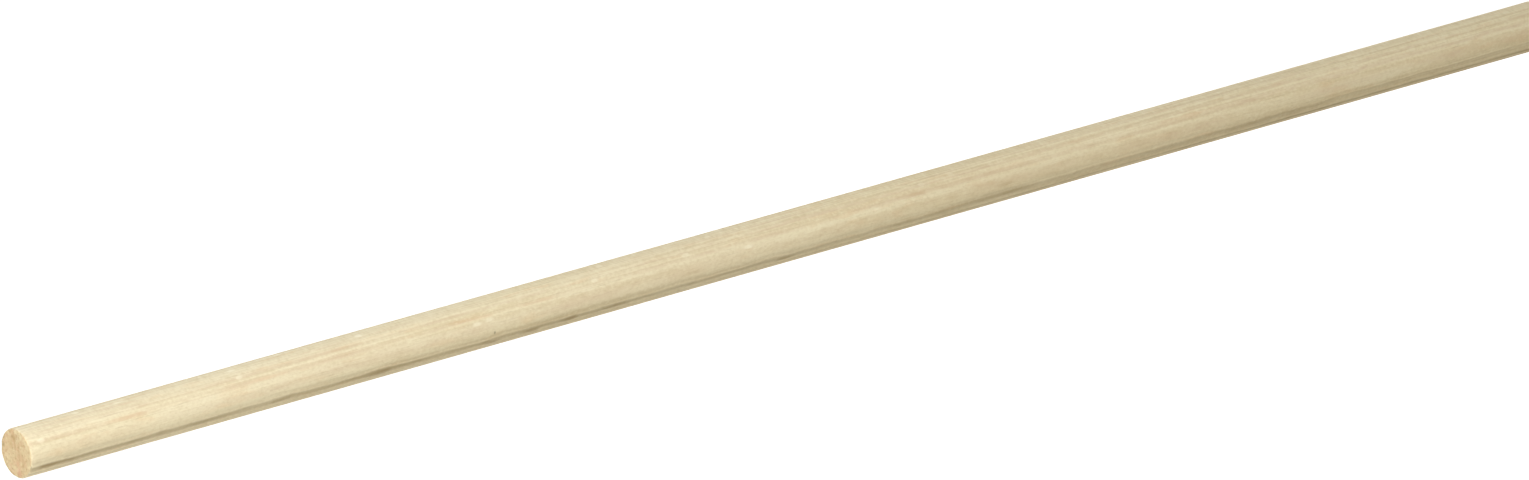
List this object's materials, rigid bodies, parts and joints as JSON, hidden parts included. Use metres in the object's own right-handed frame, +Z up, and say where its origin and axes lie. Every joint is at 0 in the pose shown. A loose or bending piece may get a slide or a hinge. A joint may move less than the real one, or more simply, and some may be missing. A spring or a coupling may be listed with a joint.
{
  "type": "wooden dowel rod",
  "caption": "Long straight round wooden rod of constant diameter, cut square at both ends with lightly eased edges.",
  "frame": {"origin": "centre of the near end face, on the rod's axis", "axes": "+X along the rod's axis from the near end to the far end, +Z up as the rod lies level, +Y completes the right-handed frame"},
  "size_m": [0.3048, 0.0064, 0.0064],
  "materials": {
    "bare_birch": "bare sanded birch, pale cream with fine lengthwise grain, unsealed end grain"
  },
  "bodies": {
    "root": {"dowel_rod": "bare_birch"}
  },
  "joints": []
}
